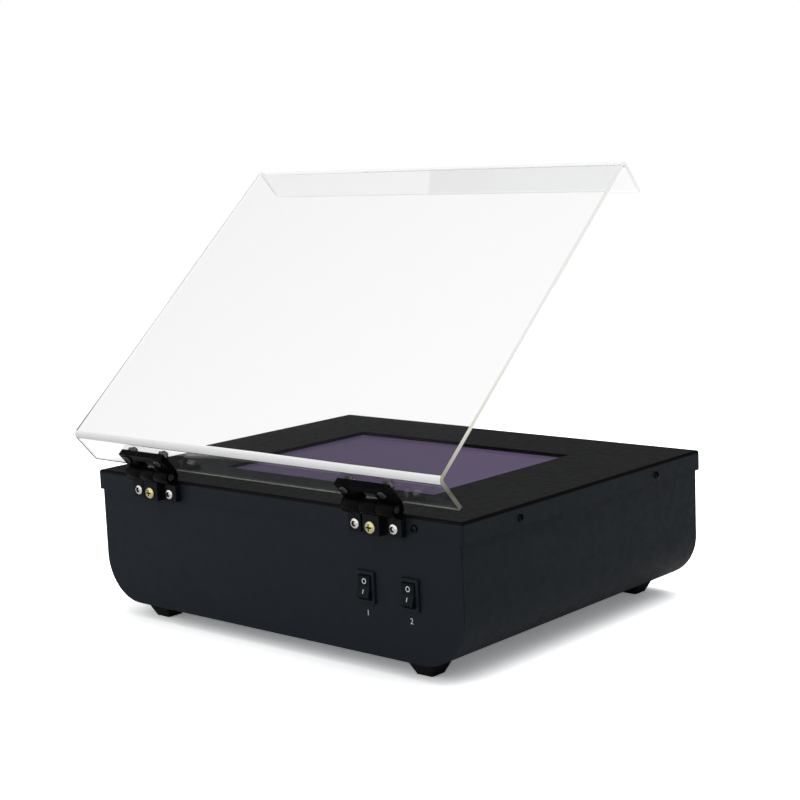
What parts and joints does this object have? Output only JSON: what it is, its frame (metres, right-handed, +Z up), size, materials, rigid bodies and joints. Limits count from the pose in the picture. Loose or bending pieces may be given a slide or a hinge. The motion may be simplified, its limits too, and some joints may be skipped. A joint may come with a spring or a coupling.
{
  "type": "uv transilluminator",
  "caption": "Low black sheet-metal light box with a filter window in its top, rocker switches, rubber feet and a clear bent lid on friction hinges at the front.",
  "frame": {"origin": "on the bench under the middle of the top cover, where the feet stand", "axes": "+X to the right along the switch panel, +Y to the rear panel, +Z up; the switch panel and the lid's hinges face -Y"},
  "size_m": [0.3436, 0.2936, 0.313],
  "materials": {
    "black_sheet": "satin black powder coat",
    "clear_acrylic": "clear polished sheet",
    "filter_glass": "dark purple filter glass",
    "rubber": "matt black rubber",
    "hinge_black": "black, half matt",
    "yellow_zinc": "yellow passivated zinc",
    "washer_plastic": "black acetal",
    "stainless": "bright stainless steel",
    "switch_black": "black moulded plastic",
    "rocker_black": "black moulded plastic with white marks",
    "inlet_black": "black moulded plastic",
    "brass_plated": "nickel-plated brass",
    "lamp_glass": "dark filter glass tube",
    "lamp_cap": "aluminium cap",
    "white_plastic": "white moulded plastic",
    "bright_aluminium": "polished sheet",
    "ballast_case": "plain case",
    "galvanised": "galvanised sheet",
    "zinc_steel": "zinc-plated steel"
  },
  "bodies": {
    "base": {"ballast_front": "ballast_case", "ballast_rear": "ballast_case", "ballast_screws": "zinc_steel", "cover_screws": "stainless", "filter_frame": "galvanised", "filter_gasket": "rubber", "filter_glass": "filter_glass", "filter_nuts": "zinc_steel", "filter_studs": "zinc_steel", "floor_nuts": "zinc_steel", "foot_front_left": "rubber", "foot_front_right": "rubber", "foot_rear_left": "rubber", "foot_rear_right": "rubber", "foot_screws": "zinc_steel", "front_panel": "black_sheet", "fuse_cap": "inlet_black", "fuse_holder": "inlet_black", "fuse_ring_nut": "inlet_black", "hinge_base_left": "hinge_black", "hinge_base_nuts": "zinc_steel", "hinge_base_right": "hinge_black", "hinge_base_screws": "stainless", "hinge_washers": "washer_plastic", "inlet_pins": "brass_plated", "inlet_screws": "zinc_steel", "lamp_caps_left": "lamp_cap", "lamp_caps_right": "lamp_cap", "lamp_holders_left": "white_plastic", "lamp_holders_right": "white_plastic", "lamp_switch_body": "switch_black", "lamp_tray": "galvanised", "lamp_tube_1": "lamp_glass", "lamp_tube_2": "lamp_glass", "lamp_tube_3": "lamp_glass", "lamp_tube_4": "lamp_glass", "lamp_tube_5": "lamp_glass", "lamp_tube_6": "lamp_glass", "mains_inlet": "inlet_black", "panel_nuts": "zinc_steel", "power_switch_body": "switch_black", "rear_panel": "black_sheet", "reflector": "bright_aluminium", "rivet_nuts": "zinc_steel", "switch_terminals": "brass_plated", "terminal_block": "white_plastic", "terminal_screws": "zinc_steel", "top_cover": "black_sheet", "torque_screws": "yellow_zinc", "tray_screws": "zinc_steel", "wrap_shell": "black_sheet"},
    "lid": {"hinge_flap_left": "hinge_black", "hinge_flap_right": "hinge_black", "hinge_pin_left": "stainless", "hinge_pin_right": "stainless", "lid_nuts": "stainless", "lid_panel": "clear_acrylic", "lid_screws": "stainless"},
    "rocker_power": {"power_rocker": "rocker_black"},
    "rocker_lamp": {"lamp_rocker": "rocker_black"}
  },
  "joints": [
    {"name": "lid_hinge", "type": "hinge", "parent": "base", "child": "lid", "pos_m": [0, -0.141, 0.1098], "axis": [1, 0, 0], "range_deg": [-42.45, 58.3]},
    {"name": "power_switch", "type": "hinge", "parent": "base", "child": "rocker_power", "pos_m": [0.1261, -0.1328, 0.0554], "axis": [1, 0, 0], "range_deg": [0, 18]},
    {"name": "lamp_switch", "type": "hinge", "parent": "base", "child": "rocker_lamp", "pos_m": [0.0897, -0.1328, 0.0554], "axis": [1, 0, 0], "range_deg": [0, 18]}
  ]
}
